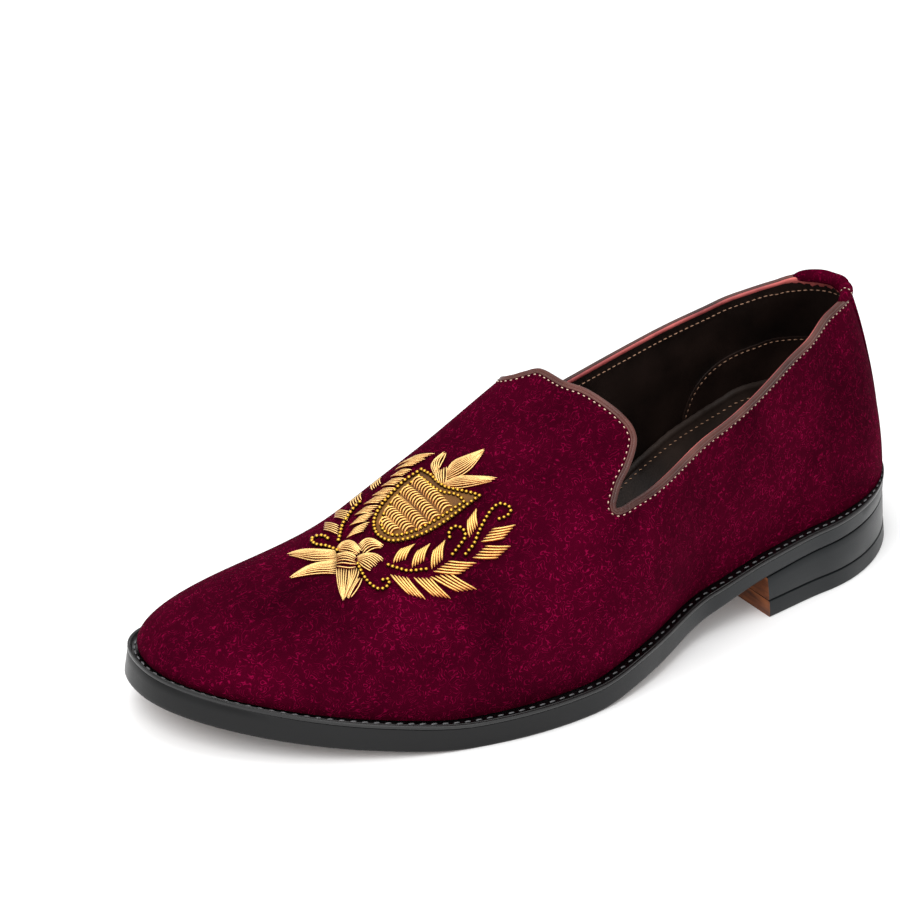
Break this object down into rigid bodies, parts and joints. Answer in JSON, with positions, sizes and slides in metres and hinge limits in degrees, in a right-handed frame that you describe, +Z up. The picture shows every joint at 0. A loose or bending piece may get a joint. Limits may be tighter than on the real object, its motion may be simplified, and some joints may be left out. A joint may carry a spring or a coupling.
{
  "type": "velvet loafer",
  "caption": "Left slip-on velvet loafer with leather collar binding, raised gold-thread crest, rolled heel tab and a leather welted sole with a low stacked heel.",
  "frame": {"origin": "middle of the shoe's box, on the floor under the sole", "axes": "+X from the heel to the toe, +Y to the outer side of the left foot, +Z up"},
  "size_m": [0.2975, 0.1082, 0.1005],
  "materials": {
    "velvet": "burgundy pile velvet",
    "binding_leather": "brown grosgrain-like leather binding",
    "gold_thread": "metal-wrapped gold embroidery thread",
    "sole_leather": "black satin sole leather",
    "welt_leather": "black stitched welt",
    "heel_rubber": "black matt rubber",
    "insole_leather": "dark brown smooth leather"
  },
  "bodies": {
    "root": {"outsole": "sole_leather", "welt": "welt_leather", "heel_block": "sole_leather", "top_lift": "heel_rubber", "insole": "insole_leather", "upper": "velvet", "collar_binding": "binding_leather", "heel_tab": "velvet", "back_strip": "velvet", "crest_shield": "gold_thread", "crest_plume": "gold_thread", "crest_knot": "gold_thread", "crest_spray_outer": "gold_thread", "crest_spray_inner": "gold_thread"}
  },
  "joints": []
}
